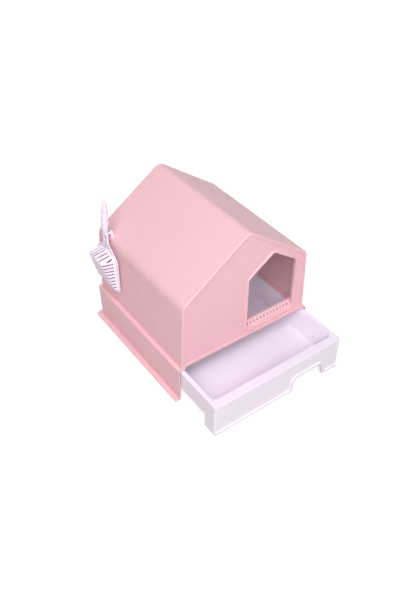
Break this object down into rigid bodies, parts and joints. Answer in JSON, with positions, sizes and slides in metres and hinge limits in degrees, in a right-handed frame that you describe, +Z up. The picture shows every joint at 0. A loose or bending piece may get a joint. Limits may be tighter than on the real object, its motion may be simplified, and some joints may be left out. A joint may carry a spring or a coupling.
{
  "type": "drawer litter box",
  "caption": "House-shaped pet litter box: gabled hood with an off-centre entrance on a low base, pull-out litter drawer with a finger notch, and a slotted scoop hung on the side.",
  "frame": {"origin": "centre of the base's underside, on the floor", "axes": "+Z up, -Y towards the drawer side (front), +X to the right seen from the front"},
  "size_m": [0.4662, 0.561, 0.4315],
  "materials": {
    "pink_plastic": "fine satin moulded polypropylene",
    "white_plastic": "satin moulded polypropylene"
  },
  "bodies": {
    "base": {"base_housing": "pink_plastic"},
    "hood": {"hood_shell": "pink_plastic", "hood_front": "pink_plastic", "entrance_sill": "pink_plastic", "scoop_hook": "white_plastic"},
    "drawer": {"litter_drawer": "white_plastic"},
    "scoop": {"scoop": "white_plastic"}
  },
  "joints": [
    {"name": "drawer_slide", "type": "slide", "parent": "base", "child": "drawer", "axis": [0, -1, 0], "range_m": [-0.144, 0.255]},
    {"name": "hood_lift", "type": "slide", "parent": "base", "child": "hood", "axis": [0, 0, 1], "range_m": [0, 0.45]},
    {"name": "scoop_lift_off", "type": "slide", "parent": "hood", "child": "scoop", "axis": [-0.9962, 0, 0.0872], "range_m": [0, 0.12]}
  ]
}
